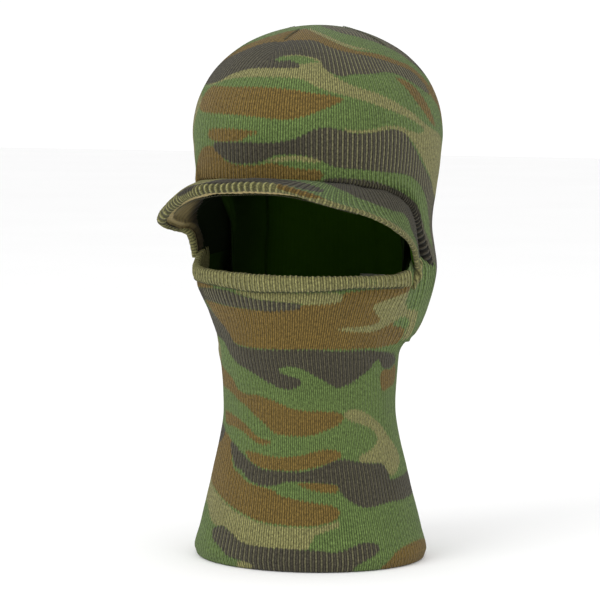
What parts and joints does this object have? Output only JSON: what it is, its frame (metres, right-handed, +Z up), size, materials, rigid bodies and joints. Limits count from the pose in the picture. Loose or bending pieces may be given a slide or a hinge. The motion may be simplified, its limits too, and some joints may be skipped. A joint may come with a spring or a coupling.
{
  "type": "camo face mask",
  "caption": "Camouflage knitted head-and-face mask with a wide face opening, a stiffened visor over the eyes, a folded band across the nose and a flared neck tube.",
  "frame": {"origin": "the head seat: the inside apex of the crown's lining, where the top of the head touches it", "axes": "+Z up out of the top of the head, the wearer faces -Y and the wearer's left is +X"},
  "size_m": [0.1781, 0.2592, 0.37],
  "materials": {
    "camo_knit": "one by one rib acrylic knit printed with a woodland camouflage of green, brown, tan and near-black",
    "olive_knit": "plain tan-olive rib knit",
    "dark_knit": "very dark green inner knit",
    "thread": "overlocked polyester thread",
    "stiffener_board": "flexible visor board sealed between the knit layers",
    "label_cloth": "blank woven label"
  },
  "bodies": {
    "hood": {"crown_shell": "camo_knit", "crown_lining": "dark_knit", "crown_dart_front": "thread", "crown_dart_left": "thread", "crown_dart_back": "thread", "crown_dart_right": "thread", "crown_back_seam": "thread", "neck_back_seam": "thread", "crown_edge_roll_left": "camo_knit", "crown_edge_roll_right": "camo_knit", "brow_seam": "thread", "visor_wing_left": "camo_knit", "visor_wing_right": "camo_knit", "visor_wing_roll_left": "camo_knit", "visor_wing_roll_right": "camo_knit", "cheek_panel_left": "camo_knit", "cheek_panel_right": "camo_knit", "corner_binding_left": "olive_knit", "corner_binding_right": "olive_knit", "mask_tube": "camo_knit", "hem_facing": "dark_knit", "hem_overlock": "thread", "care_label": "label_cloth"},
    "visor": {"visor_top_cover": "camo_knit", "visor_stiffener": "stiffener_board", "visor_under_cover": "olive_knit", "visor_edge_roll": "camo_knit", "visor_edge_stitch": "thread"},
    "nose_band": {"chin_band": "olive_knit", "chin_band_seam": "thread"}
  },
  "joints": [
    {"name": "visor_tilt", "type": "hinge", "parent": "hood", "child": "visor", "pos_m": [0, -0.094, -0.1014], "axis": [-1, 0, 0], "range_deg": [-6, 22], "stiffness_Nm_per_rad": 0.5},
    {"name": "band_slide", "type": "slide", "parent": "hood", "child": "nose_band", "axis": [0, 0, -1], "range_m": [0, 0.035]}
  ]
}
